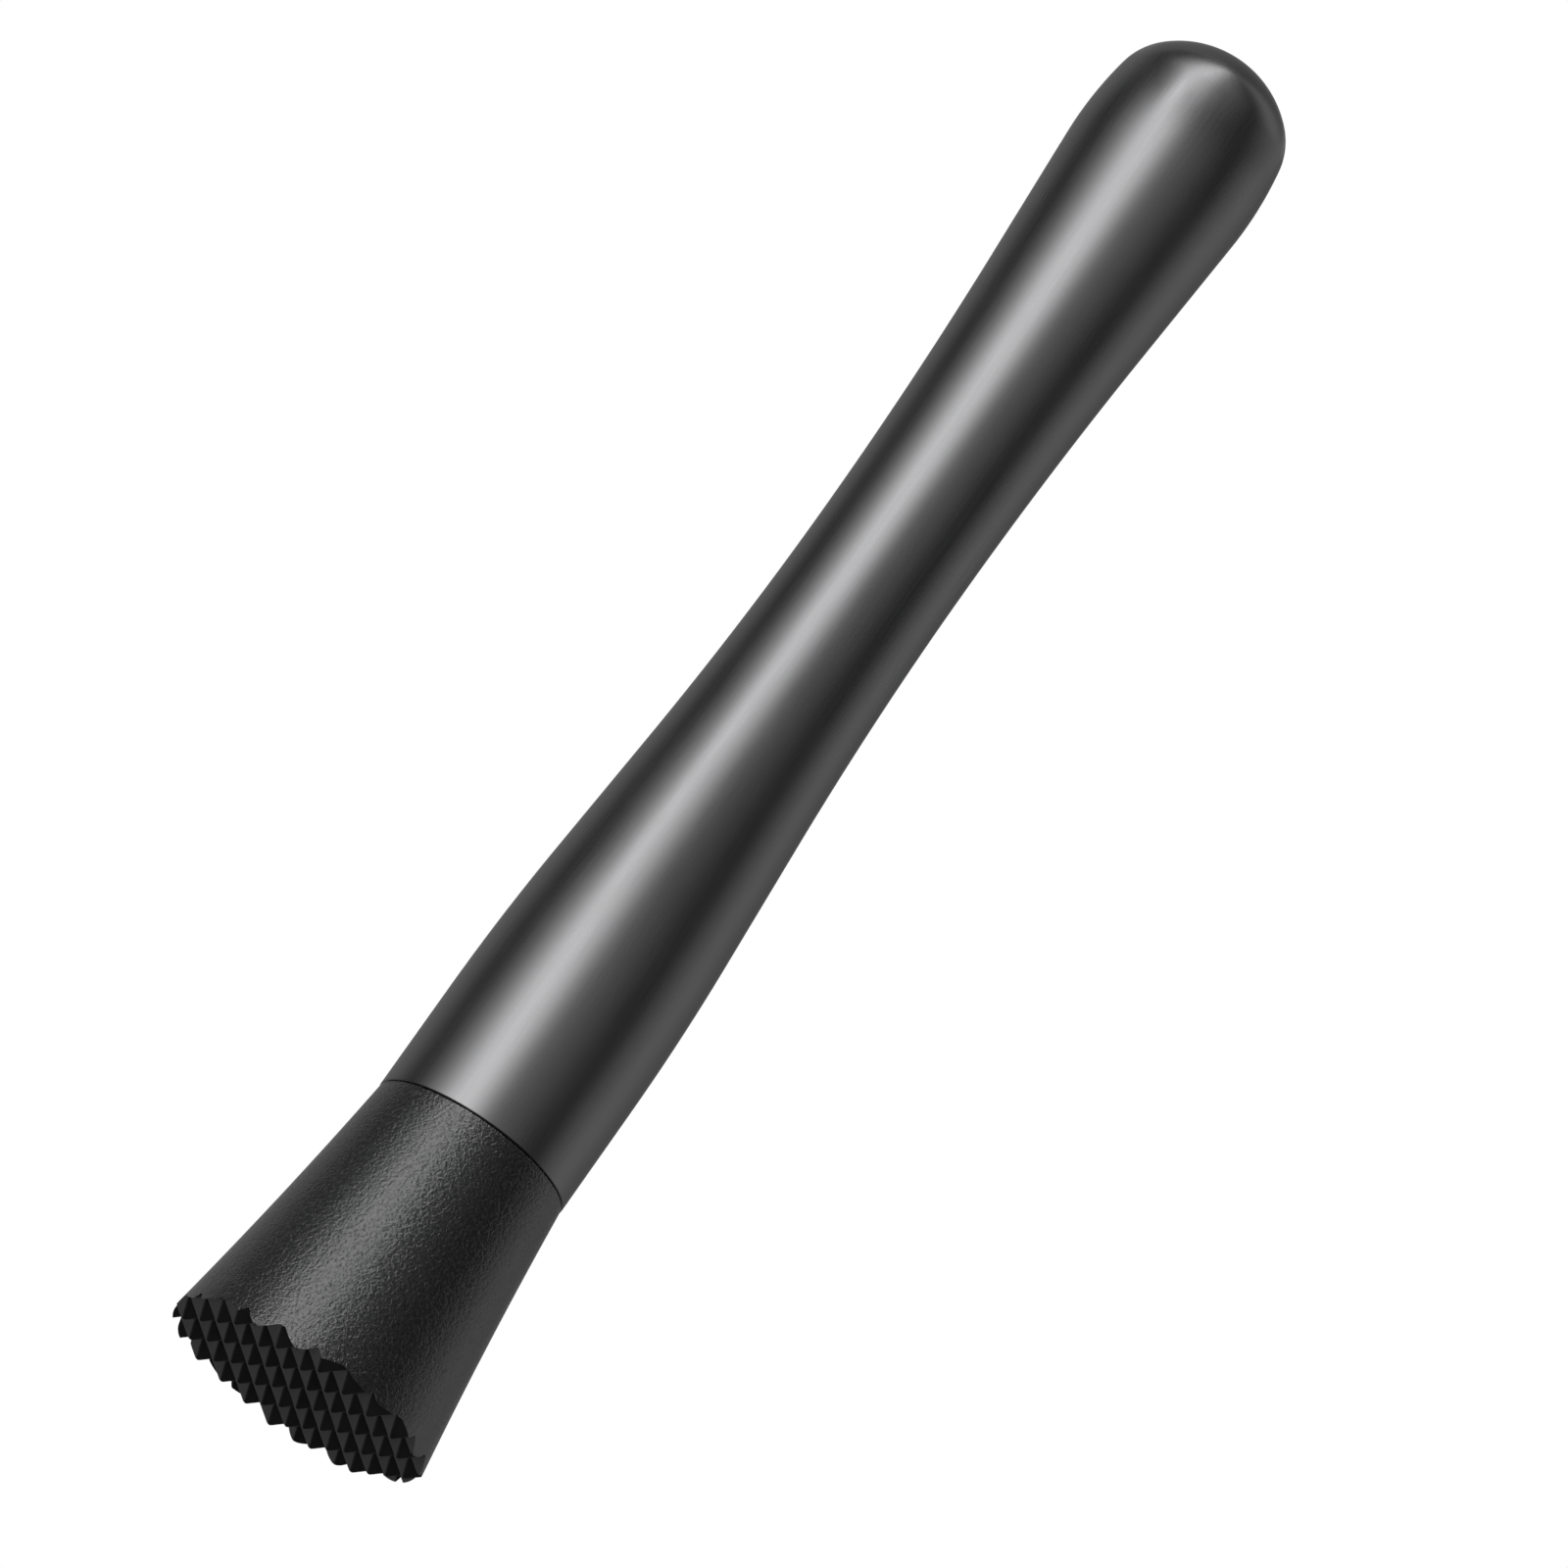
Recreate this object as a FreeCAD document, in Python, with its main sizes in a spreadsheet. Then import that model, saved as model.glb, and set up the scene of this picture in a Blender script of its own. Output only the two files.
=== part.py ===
import FreeCAD, Part
import math
import os

import Sketcher
from FreeCAD import Vector

# Cocktail muddler, 8 inch class. The axis is Z, with the tooth tips on z = 0 and the knob at the top.
# A hollow steel handle is made of a swaged tube and a drawn end cap, butt-welded at the knob's widest
# ring. A moulded nylon head carries the pyramid teeth and plugs into the tube with a cored spigot,
# where three bands of cured adhesive hold it.

# Driving dimensions in millimetres: alias, value, meaning.
DIMENSIONS = (
    ("overall_length", 203.4, "tooth tips to the top of the knob"),
    ("seam_height", 36.9, "joint between the head and the handle"),
    ("collar_radius", 12.9, "parallel lower end of the handle"),
    ("collar_top", 51.6, "where the parallel end starts to taper"),
    ("collar_curve", 305.5, "outward curve between the collar and the lower taper"),
    ("waist_height", 126.2, "narrowest ring of the handle"),
    ("waist_radius", 9.7, "radius at the waist"),
    ("lower_waist_curve", 516.5, "hollow curve below the waist"),
    ("upper_waist_curve", 633.0, "hollow curve above the waist"),
    ("knob_height", 187.1, "widest ring of the knob, and the weld"),
    ("knob_radius", 12.17, "radius at the widest ring of the knob"),
    ("knob_curve", 49.3, "side curve of the knob"),
    ("knuckle_radius", 7.87, "rounded shoulder of the end cap"),
    ("crown_radius", 12.96, "top of the end cap"),
    ("wall", 0.7, "steel wall of the tube and the cap"),
    ("mouth_edge", 0.25, "rounded outer edge of the tube's mouth"),
    ("bead_width", 1.8, "weld root inside the knob, along the axis"),
    ("bead_rise", 0.35, "weld root inside the knob, towards the axis"),
    ("rim_radius", 17.52, "toothed end of the head"),
    ("rim_edge", 1.1, "rounding round the toothed end"),
    ("head_curve", 640.0, "hollow flare of the head's side"),
    ("shoulder_radius", 12.82, "head where it meets the tube"),
    ("shoulder_edge", 0.35, "rounding of the head's shoulder"),
    ("pitch", 4.12, "tooth to tooth, both ways"),
    ("tooth_depth", 2.05, "tip to groove bottom"),
    ("tip_flat", 0.35, "width of the flat on each tip"),
    ("spigot_length", 21.0, "plug above the joint"),
    ("spigot_clearance", 0.05, "radial gap between the plug and the bore"),
    ("spigot_chamfer", 1.0, "lead-in of the plug"),
    ("core_radius", 9.4, "hollow core of the plug"),
    ("core_floor", 8.0, "bottom of the core above the tips"),
    ("web", 1.8, "thickness of the cross web in the core"),
    ("band_width", 2.6, "adhesive band along the axis"),
    ("band_depth", 0.6, "depth of an adhesive groove"),
    ("band_start", 4.0, "first band above the joint"),
    ("band_spacing", 5.4, "band to band"),
)

TEETH_ACROSS = 8
GROOVES = TEETH_ACROSS + 1
BANDS = 3
CORE_POCKETS = 4
OVERRUN = 1.0
SAME = 1e-4
FULL_TURN = 360.0

doc = FreeCAD.newDocument("muddler")


def write_sheet():
    """Put every driving dimension in the spreadsheet, one aliased cell each."""
    sheet = doc.addObject("Spreadsheet::Sheet", "Dimensions")
    for row, (alias, value, meaning) in enumerate(DIMENSIONS, start=1):
        sheet.set(f"A{row}", alias)
        sheet.set(f"B{row}", str(value))
        sheet.set(f"C{row}", meaning)
        sheet.setAlias(f"B{row}", alias)
    doc.recompute()
    return sheet


sheet = write_sheet()


def size(alias):
    """Current value of a driving dimension."""
    return float(sheet.get(alias))


# --- building blocks ----------------------------------------------------------------------------

def new_body(label):
    body = doc.addObject("PartDesign::Body", label)
    body.Label = label
    return body


def new_sketch(body, name, role="XZ_Plane"):
    """Empty sketch on one of the body's own origin planes."""
    sketch = body.newObject("Sketcher::SketchObject", name)
    plane = next(item for item in body.Origin.OriginFeatures if item.Role == role)
    sketch.AttachmentSupport = [(plane, "")]
    sketch.MapMode = "FlatFace"
    return sketch


def bind(sketch, name, expression, *constraint):
    """Add a sized constraint and drive it from the spreadsheet."""
    index = sketch.addConstraint(Sketcher.Constraint(*constraint))
    sketch.renameConstraint(index, name)
    sketch.setExpression("Constraints." + name, expression)


def relate(sketch, *constraint):
    sketch.addConstraint(Sketcher.Constraint(*constraint))


def add_line(sketch, start, end):
    return sketch.addGeometry(Part.LineSegment(Vector(*start, 0), Vector(*end, 0)), False)


def add_arc(sketch, centre, radius, first, last):
    """Arc drawn counter-clockwise from angle first to angle last, in radians."""
    circle = Part.Circle(Vector(*centre, 0), Vector(0, 0, 1), radius)
    return sketch.addGeometry(Part.ArcOfCircle(circle, first, last), False)


def join(sketch, links):
    """Make each pair of end points meet: (geometry, end, geometry, end)."""
    for link in links:
        relate(sketch, "Coincident", *link)


def smooth(sketch, links):
    """Make each pair of end points meet with a common tangent."""
    for link in links:
        relate(sketch, "Tangent", *link)


def on_axis(sketch, geometry, end):
    relate(sketch, "PointOnObject", geometry, end, -2)


def place(sketch, name, geometry, end, across=None, along=None):
    """Fix a point's distance from the axis, its height, or both, from the spreadsheet."""
    point = sketch.getPoint(geometry, end)
    if across:
        bind(sketch, name + "_across", across, "DistanceX", -1, 1, geometry, end, point.x)
    if along:
        bind(sketch, name + "_along", along, "DistanceY", -1, 1, geometry, end, point.y)


def revolve(body, sketch, name):
    turned = body.newObject("PartDesign::Revolution", name)
    turned.Profile = sketch
    turned.ReferenceAxis = (sketch, ["V_Axis"])
    turned.Angle = FULL_TURN
    doc.recompute()
    return turned


def flat_faces(shape, height):
    """Names of the flat faces that lie at one height."""
    names = []
    for index, face in enumerate(shape.Faces, start=1):
        level = isinstance(face.Surface, Part.Plane) and face.BoundBox.ZLength < SAME
        if level and abs(face.BoundBox.ZMin - height) < SAME:
            names.append(f"Face{index}")
    return names


def ring_edges(shape, height, radius):
    """Names of the circular edges of one radius at one height."""
    names = []
    for index, edge in enumerate(shape.Edges, start=1):
        curve = edge.Curve
        if not isinstance(curve, Part.Circle):
            continue
        if abs(curve.Center.z - height) < SAME and abs(curve.Radius - radius) < SAME:
            names.append(f"Edge{index}")
    return names


def hollow(body, solid, heights):
    """Turn a solid into a shell of the wall's thickness, open at the given heights."""
    shell = body.newObject("PartDesign::Thickness", "Wall")
    shell.Base = (solid, [name for height in heights for name in flat_faces(solid.Shape, height)])
    shell.Reversed = True
    shell.setExpression("Value", "Dimensions.wall")
    doc.recompute()
    assert shell.Shape.Volume < 0.5 * solid.Shape.Volume, "the shell isn't hollow"
    return shell


def round_edge(body, solid, name, height, radius, alias):
    rounding = body.newObject("PartDesign::Fillet", name)
    rounding.Base = (solid, ring_edges(solid.Shape, height, radius))
    rounding.setExpression("Radius", "Dimensions." + alias)
    doc.recompute()
    assert rounding.Shape.Volume < solid.Shape.Volume, name + " removed nothing"
    return rounding


def taper_angle(rise, step, curves):
    """Lean from the axis of the straight side that joins a hollow curve to an outward one."""
    reach = math.hypot(rise, curves - step)
    return math.atan2(rise, curves - step) - math.acos(curves / reach)


# --- handle tube --------------------------------------------------------------------------------

def make_handle_tube():
    """Swaged tube: parallel collar, lower taper, waist, upper taper, half of the knob."""
    seam, knob = size("seam_height"), size("knob_height")
    collar_r, collar_top, collar_curve = size("collar_radius"), size("collar_top"), size("collar_curve")
    waist_r, waist = size("waist_radius"), size("waist_height")
    below, above = size("lower_waist_curve"), size("upper_waist_curve")
    knob_r, knob_curve = size("knob_radius"), size("knob_curve")
    lower = taper_angle(waist - collar_top, collar_r - waist_r, collar_curve + below)
    upper = taper_angle(knob - waist, knob_r - waist_r, knob_curve + above)

    def side(centre, radius, angle):
        return (centre[0] + radius * math.cos(angle), centre[1] + radius * math.sin(angle))

    collar_centre = (collar_r - collar_curve, collar_top)
    below_centre = (waist_r + below, waist)
    above_centre = (waist_r + above, waist)
    knob_centre = (knob_r - knob_curve, knob)

    body = new_body("handle_tube")
    sketch = new_sketch(body, "TubeOutline")
    mouth = add_line(sketch, (0, seam), (collar_r, seam))
    collar = add_line(sketch, (collar_r, seam), (collar_r, collar_top))
    shoulder = add_arc(sketch, collar_centre, collar_curve, 0, lower)
    lower_taper = add_line(sketch, side(collar_centre, collar_curve, lower),
                           side(below_centre, below, math.pi + lower))
    lower_waist = add_arc(sketch, below_centre, below, math.pi, math.pi + lower)
    upper_waist = add_arc(sketch, above_centre, above, math.pi - upper, math.pi)
    upper_taper = add_line(sketch, side(above_centre, above, math.pi - upper),
                           side(knob_centre, knob_curve, -upper))
    knob_side = add_arc(sketch, knob_centre, knob_curve, -upper, 0)
    top = add_line(sketch, (knob_r, knob), (0, knob))
    middle = add_line(sketch, (0, knob), (0, seam))

    join(sketch, [(mouth, 2, collar, 1), (knob_side, 2, top, 1), (top, 2, middle, 1),
                  (middle, 2, mouth, 1)])
    smooth(sketch, [(collar, 2, shoulder, 1), (shoulder, 2, lower_taper, 1), (lower_taper, 2, lower_waist, 2),
                    (lower_waist, 1, upper_waist, 2), (upper_waist, 1, upper_taper, 1),
                    (upper_taper, 2, knob_side, 1)])
    for line in (mouth, top):
        relate(sketch, "Horizontal", line)
    relate(sketch, "Vertical", collar)
    relate(sketch, "Horizontal", lower_waist, 3, lower_waist, 1)
    relate(sketch, "Horizontal", knob_side, 3, knob_side, 2)
    on_axis(sketch, middle, 1)
    on_axis(sketch, middle, 2)
    place(sketch, "mouth", mouth, 2, "Dimensions.collar_radius", "Dimensions.seam_height")
    place(sketch, "collar", collar, 2, along="Dimensions.collar_top")
    place(sketch, "waist", lower_waist, 1, "Dimensions.waist_radius", "Dimensions.waist_height")
    place(sketch, "knob", knob_side, 2, "Dimensions.knob_radius", "Dimensions.knob_height")
    for arc, alias in ((shoulder, "collar_curve"), (lower_waist, "lower_waist_curve"),
                       (upper_waist, "upper_waist_curve"), (knob_side, "knob_curve")):
        bind(sketch, alias, "Dimensions." + alias, "Radius", arc, size(alias))

    solid = revolve(body, sketch, "TubeSolid")
    shell = hollow(body, solid, (seam, knob))
    round_edge(body, shell, "MouthEdge", seam, collar_r, "mouth_edge")
    return body


# --- end cap ------------------------------------------------------------------------------------

def make_end_cap():
    """Drawn cap: upper half of the knob's side, rounded shoulder and shallower crown."""
    top, knob = size("overall_length"), size("knob_height")
    knob_r, knob_curve = size("knob_radius"), size("knob_curve")
    crown_r, knuckle_r, wall = size("crown_radius"), size("knuckle_radius"), size("wall")
    side_centre = Vector(knob_r - knob_curve, knob, 0)
    crown_centre = Vector(0, top - crown_r, 0)

    # The shoulder's centre lies where it is tangent inside both the side and the crown.
    between = crown_centre - side_centre
    to_side, to_crown = knob_curve - knuckle_r, crown_r - knuckle_r
    along = (between.Length ** 2 + to_side ** 2 - to_crown ** 2) / (2 * between.Length)
    off = math.sqrt(to_side ** 2 - along ** 2)
    unit = Vector(between).normalize()
    knuckle_centre = side_centre + unit * along + Vector(-unit.y, unit.x, 0) * off
    lean = math.atan2(knuckle_centre.y - side_centre.y, knuckle_centre.x - side_centre.x)
    crown_edge = math.atan2(knuckle_centre.y - crown_centre.y, knuckle_centre.x - crown_centre.x)

    body = new_body("end_cap")
    sketch = new_sketch(body, "CapSection")

    def skin(inset):
        """Side, shoulder and crown arcs of the outer face, or of the inner one at the wall's inset."""
        return (add_arc(sketch, (side_centre.x, side_centre.y), knob_curve - inset, 0, lean),
                add_arc(sketch, (knuckle_centre.x, knuckle_centre.y), knuckle_r - inset, lean, crown_edge),
                add_arc(sketch, (crown_centre.x, crown_centre.y), crown_r - inset, crown_edge, math.pi / 2))

    outer = skin(0)
    inner = skin(wall)
    base = add_line(sketch, (knob_r - wall, knob), (knob_r, knob))
    middle = add_line(sketch, (0, top), (0, top - wall))
    for cap_side, knuckle, crown in (outer, inner):
        smooth(sketch, [(cap_side, 2, knuckle, 1), (knuckle, 2, crown, 1)])
        on_axis(sketch, crown, 2)
    join(sketch, [(base, 1, inner[0], 1), (base, 2, outer[0], 1), (outer[2], 2, middle, 1),
                  (inner[2], 2, middle, 2)])
    join(sketch, [(arc, 3, twin, 3) for arc, twin in zip(outer, inner)])
    relate(sketch, "Horizontal", base)
    relate(sketch, "Horizontal", outer[0], 3, outer[0], 1)
    on_axis(sketch, outer[2], 3)
    place(sketch, "base", base, 2, "Dimensions.knob_radius", "Dimensions.knob_height")
    place(sketch, "top", outer[2], 2, along="Dimensions.overall_length")
    for arc, alias in zip(outer, ("knob_curve", "knuckle_radius", "crown_radius")):
        bind(sketch, alias, "Dimensions." + alias, "Radius", arc, size(alias))
    bind(sketch, "inner_crown_radius", "Dimensions.crown_radius - Dimensions.wall",
         "Radius", inner[2], crown_r - wall)
    revolve(body, sketch, "CapShell")
    return body


# --- weld bead ----------------------------------------------------------------------------------

def make_weld_bead():
    """Root of the butt weld: a low ring on the inside wall, half on the tube and half on the cap."""
    knob, knob_r, knob_curve = size("knob_height"), size("knob_radius"), size("knob_curve")
    wall, half, rise = size("wall"), size("bead_width") / 2, size("bead_rise")
    wall_curve = knob_curve - wall
    wall_angle = math.asin(half / wall_curve)
    wall_r = knob_r - knob_curve + wall_curve * math.cos(wall_angle)
    crown_r = knob_r - wall - rise
    depth = wall_r - crown_r
    bulge = (half ** 2 + depth ** 2) / (2 * depth)
    bulge_angle = math.asin(half / bulge)

    body = new_body("weld_bead")
    sketch = new_sketch(body, "BeadSection")
    outer = add_arc(sketch, (knob_r - knob_curve, knob), wall_curve, -wall_angle, wall_angle)
    inner = add_arc(sketch, (crown_r + bulge, knob), bulge, math.pi - bulge_angle, math.pi + bulge_angle)
    join(sketch, [(outer, 2, inner, 1), (outer, 1, inner, 2)])
    relate(sketch, "Vertical", outer, 1, outer, 2)
    bind(sketch, "centre_across", "Dimensions.knob_curve - Dimensions.knob_radius",
         "DistanceX", outer, 3, -1, 1, knob_curve - knob_r)
    bind(sketch, "centre_along", "Dimensions.knob_height", "DistanceY", -1, 1, outer, 3, knob)
    bind(sketch, "wall_curve", "Dimensions.knob_curve - Dimensions.wall", "Radius", outer, wall_curve)
    bind(sketch, "bead_width", "Dimensions.bead_width", "DistanceY", outer, 1, outer, 2, 2 * half)
    bulge_size = "(({w} / 2) ^ 2 + {d} ^ 2) / (2 * {d})".format(
        w="Dimensions.bead_width",
        d="(Dimensions.bead_rise - (Dimensions.bead_width / 2) ^ 2"
          " / (2 * (Dimensions.knob_curve - Dimensions.wall)))")
    bind(sketch, "bulge", bulge_size, "Radius", inner, bulge)
    revolve(body, sketch, "BeadRing")
    return body


# --- muddling head ------------------------------------------------------------------------------

def make_head_solid(body):
    """Flared head and its plug, turned from one outline with a rounded rim and shoulder."""
    rim_r, shoulder_r, curve = size("rim_radius"), size("shoulder_radius"), size("head_curve")
    rim_edge, shoulder_edge, seam = size("rim_edge"), size("shoulder_edge"), size("seam_height")
    plug_r = size("collar_radius") - size("wall") - size("spigot_clearance")
    plug_top = seam + size("spigot_length")
    chord = Vector(shoulder_r - rim_r, seam, 0)
    outward = Vector(chord.y, -chord.x, 0).normalize()
    hollow_depth = math.sqrt(curve ** 2 - (chord.Length / 2) ** 2)
    centre = Vector(rim_r, 0, 0) + chord * 0.5 + outward * hollow_depth

    def corner(height, edge):
        """Centre of an edge rounding that touches the flare, and its direction from there."""
        across = centre.x - math.sqrt((curve + edge) ** 2 - (height - centre.y) ** 2)
        return (across, height), math.atan2(centre.y - height, centre.x - across)

    rim_centre, rim_angle = corner(rim_edge, rim_edge)
    shoulder_centre, shoulder_angle = corner(seam - shoulder_edge, shoulder_edge)

    sketch = new_sketch(body, "HeadOutline")
    face = add_line(sketch, (0, 0), (rim_centre[0], 0))
    rim = add_arc(sketch, rim_centre, rim_edge, -math.pi / 2, rim_angle)
    flare = add_arc(sketch, (centre.x, centre.y), curve, math.pi + shoulder_angle, math.pi + rim_angle)
    rounding = add_arc(sketch, shoulder_centre, shoulder_edge, shoulder_angle, math.pi / 2)
    shoulder = add_line(sketch, (shoulder_centre[0], seam), (plug_r, seam))
    plug = add_line(sketch, (plug_r, seam), (plug_r, plug_top))
    end = add_line(sketch, (plug_r, plug_top), (0, plug_top))
    middle = add_line(sketch, (0, plug_top), (0, 0))
    rim_corner = sketch.addGeometry(Part.Point(Vector(rim_r, 0, 0)), True)
    shoulder_corner = sketch.addGeometry(Part.Point(Vector(shoulder_r, seam, 0)), True)

    join(sketch, [(shoulder, 2, plug, 1), (plug, 2, end, 1), (end, 2, middle, 1), (middle, 2, face, 1)])
    smooth(sketch, [(face, 2, rim, 1), (rim, 2, flare, 2), (flare, 1, rounding, 1),
                    (rounding, 2, shoulder, 1)])
    for line in (face, shoulder, end):
        relate(sketch, "Horizontal", line)
    relate(sketch, "Vertical", plug)
    relate(sketch, "Coincident", face, 1, -1, 1)
    on_axis(sketch, end, 2)
    for point in (rim_corner, shoulder_corner):
        relate(sketch, "PointOnObject", point, 1, flare)
    relate(sketch, "PointOnObject", rim_corner, 1, -1)
    place(sketch, "rim", rim_corner, 1, across="Dimensions.rim_radius")
    place(sketch, "shoulder", shoulder_corner, 1, "Dimensions.shoulder_radius", "Dimensions.seam_height")
    relate(sketch, "Horizontal", shoulder_corner, 1, shoulder, 2)
    place(sketch, "plug", plug, 2,
          "Dimensions.collar_radius - Dimensions.wall - Dimensions.spigot_clearance",
          "Dimensions.seam_height + Dimensions.spigot_length")
    for arc, alias in ((flare, "head_curve"), (rim, "rim_edge"), (rounding, "shoulder_edge")):
        bind(sketch, alias, "Dimensions." + alias, "Radius", arc, size(alias))
    return revolve(body, sketch, "HeadSolid")


def chamfer_plug(body, solid):
    plug_r = size("collar_radius") - size("wall") - size("spigot_clearance")
    lead_in = body.newObject("PartDesign::Chamfer", "LeadIn")
    lead_in.Base = (solid, ring_edges(solid.Shape, size("seam_height") + size("spigot_length"), plug_r))
    lead_in.setExpression("Size", "Dimensions.spigot_chamfer")
    doc.recompute()
    return lead_in


def repeat(body, feature, direction, length, count, name):
    """Repeat a cut along a line, with the last copy at the given length."""
    pattern = body.newObject("PartDesign::LinearPattern", name)
    pattern.Originals = [feature]
    pattern.Direction = direction
    pattern.setExpression("Length", length)
    pattern.Occurrences = count
    body.Tip = pattern
    doc.recompute()
    return pattern


def cut_adhesive_grooves(body):
    """Shallow ring grooves round the plug, one for each adhesive band, cut from outside the plug."""
    outside = size("collar_radius")
    low = size("seam_height") + size("band_start")
    high = low + size("band_width")
    floor = outside - size("wall") - size("band_depth")
    sketch = new_sketch(body, "BandSection")
    bottom = add_line(sketch, (floor, low), (outside, low))
    outer = add_line(sketch, (outside, low), (outside, high))
    upper = add_line(sketch, (outside, high), (floor, high))
    inner = add_line(sketch, (floor, high), (floor, low))
    join(sketch, [(bottom, 2, outer, 1), (outer, 2, upper, 1), (upper, 2, inner, 1),
                  (inner, 2, bottom, 1)])
    for line in (bottom, upper):
        relate(sketch, "Horizontal", line)
    for line in (outer, inner):
        relate(sketch, "Vertical", line)
    place(sketch, "floor", bottom, 1,
          "Dimensions.collar_radius - Dimensions.wall - Dimensions.band_depth",
          "Dimensions.seam_height + Dimensions.band_start")
    place(sketch, "outside", outer, 2, "Dimensions.collar_radius",
          "Dimensions.seam_height + Dimensions.band_start + Dimensions.band_width")
    groove = body.newObject("PartDesign::Groove", "BandGroove")
    groove.Profile = sketch
    groove.ReferenceAxis = (sketch, ["V_Axis"])
    groove.Angle = FULL_TURN
    doc.recompute()
    return repeat(body, groove, (sketch, ["V_Axis"]), f"Dimensions.band_spacing * {BANDS - 1}", BANDS,
                  "BandGrooves")


def cut_core(body):
    """Four quarter-round pockets from the plug's end, which leave a cross web between them."""
    half_web, core_r = size("web") / 2, size("core_radius")
    reach = math.sqrt(core_r ** 2 - half_web ** 2)
    start = math.atan2(half_web, reach)
    sketch = new_sketch(body, "CoreQuarter", "XY_Plane")
    sketch.setExpression("AttachmentOffset.Base.z", "Dimensions.seam_height + Dimensions.spigot_length")
    floor = add_line(sketch, (half_web, half_web), (reach, half_web))
    arc = add_arc(sketch, (0, 0), core_r, start, math.pi / 2 - start)
    side = add_line(sketch, (half_web, reach), (half_web, half_web))
    join(sketch, [(floor, 2, arc, 1), (arc, 2, side, 1), (side, 2, floor, 1), (arc, 3, -1, 1)])
    relate(sketch, "Horizontal", floor)
    relate(sketch, "Vertical", side)
    place(sketch, "corner", floor, 1, "Dimensions.web / 2", "Dimensions.web / 2")
    bind(sketch, "core_radius", "Dimensions.core_radius", "Radius", arc, core_r)
    pocket = body.newObject("PartDesign::Pocket", "CorePocket")
    pocket.Profile = sketch
    pocket.setExpression("Length",
                         "Dimensions.seam_height + Dimensions.spigot_length - Dimensions.core_floor")
    doc.recompute()
    around = body.newObject("PartDesign::PolarPattern", "CorePockets")
    around.Originals = [pocket]
    around.Axis = (sketch, ["N_Axis"])
    around.Angle = FULL_TURN
    around.Occurrences = CORE_POCKETS
    body.Tip = around
    doc.recompute()
    return around


def cut_grooves(body, role, name):
    """One family of parallel V grooves across the face, open through the rim on both sides."""
    depth, first = size("tooth_depth"), -TEETH_ACROSS / 2 * size("pitch")
    half = (size("pitch") - size("tip_flat")) / 2 * (1 + OVERRUN / depth)
    sketch = new_sketch(body, name + "Section", role)
    mouth = add_line(sketch, (first - half, -OVERRUN), (first + half, -OVERRUN))
    right = add_line(sketch, (first + half, -OVERRUN), (first, depth))
    left = add_line(sketch, (first, depth), (first - half, -OVERRUN))
    join(sketch, [(mouth, 2, right, 1), (right, 2, left, 1), (left, 2, mouth, 1)])
    relate(sketch, "Horizontal", mouth)
    half_width = ("(Dimensions.pitch - Dimensions.tip_flat) / 2"
                  f" * (1 + {OVERRUN} / Dimensions.tooth_depth)")
    bind(sketch, "left_half", half_width, "DistanceX", mouth, 1, right, 2, half)
    bind(sketch, "right_half", half_width, "DistanceX", right, 2, mouth, 2, half)
    bind(sketch, "first_groove", f"Dimensions.pitch * {TEETH_ACROSS} / 2",
         "DistanceX", right, 2, -1, 1, -first)
    bind(sketch, "tooth_depth", "Dimensions.tooth_depth", "DistanceY", -1, 1, right, 2, depth)
    bind(sketch, "overrun", str(OVERRUN), "DistanceY", mouth, 1, -1, 1, OVERRUN)
    groove = body.newObject("PartDesign::Pocket", name)
    groove.Profile = sketch
    groove.SideType = "Symmetric"
    groove.setExpression("Length", "Dimensions.rim_radius * 3")
    doc.recompute()
    return repeat(body, groove, (sketch, ["H_Axis"]), f"Dimensions.pitch * {GROOVES - 1}", GROOVES,
                  name + "s")


def make_muddling_head():
    body = new_body("muddling_head")
    steps = [make_head_solid(body)]
    steps.append(chamfer_plug(body, steps[0]))
    steps.append(cut_grooves(body, "XZ_Plane", "GrooveX"))
    steps.append(cut_grooves(body, "YZ_Plane", "GrooveY"))
    steps.append(cut_adhesive_grooves(body))
    steps.append(cut_core(body))
    for before, after in zip(steps, steps[1:]):
        assert after.Shape.Volume < before.Shape.Volume - 1, after.Name + " removed nothing"
    return body


# --- adhesive bands -----------------------------------------------------------------------------

def make_adhesive_bands():
    """Cured adhesive that fills the plug's grooves out to the tube's bore."""
    bore = "Dimensions.collar_radius - Dimensions.wall"
    bands = []
    for index in range(BANDS):
        height = f"Dimensions.seam_height + Dimensions.band_start + Dimensions.band_spacing * {index}"
        rings = []
        for name, radius in (("Outer", bore), ("Inner", bore + " - Dimensions.band_depth")):
            ring = doc.addObject("Part::Cylinder", f"Band{name}{index}")
            ring.setExpression("Radius", radius)
            ring.setExpression("Height", "Dimensions.band_width")
            ring.setExpression("Placement.Base.z", height)
            rings.append(ring)
        band = doc.addObject("Part::Cut", f"Band{index}")
        band.Base, band.Tool = rings
        bands.append(band)
    group = doc.addObject("Part::Compound", "adhesive_bands")
    group.Label = "adhesive_bands"
    group.Links = bands
    doc.recompute()
    return group


# --- build, check and write ---------------------------------------------------------------------

PIECES = [make_handle_tube(), make_end_cap(), make_weld_bead(), make_muddling_head(), make_adhesive_bands()]
doc.recompute()

failed = [item.Name for item in doc.Objects if {"Invalid", "Error"} & set(item.State)]
assert not failed, f"failed objects: {failed}"
for piece in PIECES:
    assert not piece.Shape.isNull() and piece.Shape.isValid(), piece.Label + " has no valid shape"

os.makedirs("parts", exist_ok=True)
for piece in PIECES:
    piece.Shape.exportStep(f"parts/{piece.Label}.step")
    print(f"{piece.Label}: {len(piece.Shape.Solids)} solids, {piece.Shape.Volume:.1f} mm3")
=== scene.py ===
import math

import bmesh
import bpy
import numpy as np
from mathutils import Matrix, Vector
from mathutils.geometry import delaunay_2d_cdt


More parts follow.
